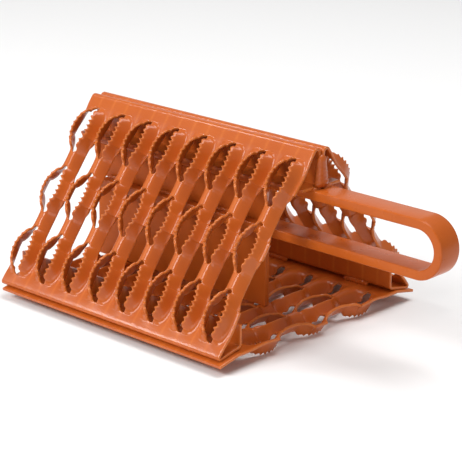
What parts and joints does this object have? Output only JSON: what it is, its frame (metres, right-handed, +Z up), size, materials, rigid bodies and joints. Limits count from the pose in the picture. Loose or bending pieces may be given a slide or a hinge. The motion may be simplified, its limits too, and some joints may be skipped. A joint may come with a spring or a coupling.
{
  "type": "wheel chock",
  "caption": "Triangular chock of formed serrated steel grating on a grating base, with a flat-bar loop handle out of one end, all welded and powder coated.",
  "frame": {"origin": "on the ground, under the middle of the whole object's box", "axes": "+X along the chock, out through the handle's loop; +Y towards the back grating; +Z up"},
  "size_m": [0.381, 0.2354, 0.1558],
  "materials": {
    "grating_paint": "glossy orange powder coat on formed sheet steel",
    "bar_paint": "glossy orange powder coat on flat steel bar and plate",
    "weld_paint": "glossy orange powder coat over rippled weld beads"
  },
  "bodies": {
    "root": {"front_grating": "grating_paint", "back_grating": "grating_paint", "base_grating": "grating_paint", "handle": "bar_paint", "centre_plate": "bar_paint", "leg_plate": "bar_paint", "crest_welds": "weld_paint", "handle_welds": "weld_paint", "plate_welds": "weld_paint", "base_welds": "weld_paint"}
  },
  "joints": []
}
